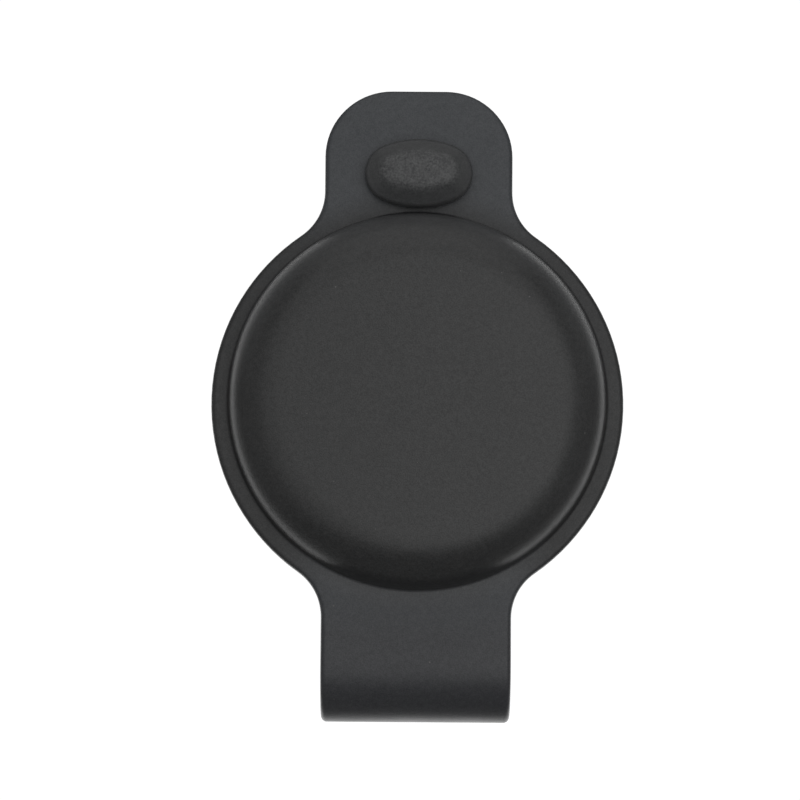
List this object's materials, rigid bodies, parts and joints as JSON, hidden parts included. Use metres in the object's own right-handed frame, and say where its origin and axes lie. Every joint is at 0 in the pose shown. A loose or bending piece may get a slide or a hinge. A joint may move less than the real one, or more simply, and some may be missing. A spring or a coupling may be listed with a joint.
{
  "type": "tracker tag holder",
  "caption": "Matte black silicone holder for a round tracker tag: a domed pod on a flat sheet whose tail folds back into a buttoned collar loop.",
  "frame": {"origin": "on the tag's axis, in the outer flat face of the rear strap that the part lies on", "axes": "+X across to the right of the picture, +Y up the holder towards the button, +Z out of the dome towards the viewer"},
  "size_m": [0.0392, 0.0604, 0.017],
  "materials": {
    "silicone": "matte moulded silicone with a fine blasted grain",
    "case_plastic": "smooth white moulded plastic",
    "cover_steel": "satin stainless steel",
    "liner_plastic": "plain moulded plastic",
    "seal_rubber": "soft seal rubber",
    "foam": "open foam",
    "cell_steel": "nickel-plated pressed steel",
    "gasket_plastic": "moulded plastic",
    "electrode": "pressed powder",
    "board": "solder mask on glass-fibre board",
    "shield_tin": "tinned sheet",
    "chip_epoxy": "moulded epoxy",
    "capacitor": "fired ceramic",
    "copper": "plated copper",
    "contact_metal": "gold-plated spring bronze",
    "sounder_brass": "rolled brass",
    "piezo": "silvered ceramic"
  },
  "bodies": {
    "holder": {"front_cover": "silicone", "retaining_lip": "silicone"},
    "fold": {"bottom_fold": "silicone"},
    "strap": {"rear_strap": "silicone", "closure_button": "silicone"},
    "tag": {"tag_shell": "case_plastic", "tag_base": "case_plastic", "cell_can": "cell_steel", "cell_gasket": "gasket_plastic", "cell_cap": "cell_steel", "cell_core": "electrode", "circuit_board": "board", "radio_shield": "shield_tin", "radio_chip": "chip_epoxy", "sensor_chip": "chip_epoxy", "board_crystal": "shield_tin", "board_capacitors": "capacitor", "antenna_loop": "copper", "centre_contact": "contact_metal", "side_contacts": "contact_metal", "sounder_plate": "sounder_brass", "sounder_ceramic": "piezo", "sounder_pins": "contact_metal"},
    "cover": {"battery_cover": "cover_steel", "cover_liner": "liner_plastic", "cover_seal": "seal_rubber", "cover_pad": "foam"}
  },
  "joints": [
    {"name": "fold_upper", "type": "hinge", "parent": "holder", "child": "fold", "pos_m": [0, -0.02824, 0.00902], "axis": [-1, 0, 0], "range_deg": [0, 95], "stiffness_Nm_per_rad": 0.004, "deforming": ["bottom_fold", "closure_button"]},
    {"name": "fold_lower", "type": "hinge", "parent": "fold", "child": "strap", "pos_m": [0, -0.02824, 0.00238], "axis": [-1, 0, 0], "range_deg": [0, 95], "stiffness_Nm_per_rad": 0.004, "deforming": ["bottom_fold", "closure_button"]},
    {"name": "tag_eject", "type": "slide", "parent": "holder", "child": "tag", "axis": [0, 0, -1], "range_m": [0, 0.0048], "deforming": ["retaining_lip"]},
    {"name": "cover_twist", "type": "hinge", "parent": "tag", "child": "cover", "pos_m": [0, 0, 0.0077], "axis": [0, 0, -1], "range_deg": [0, 22]}
  ],
  "couplings": [
    {"joint": "fold_lower", "follows": "fold_upper", "ratio": 1}
  ]
}
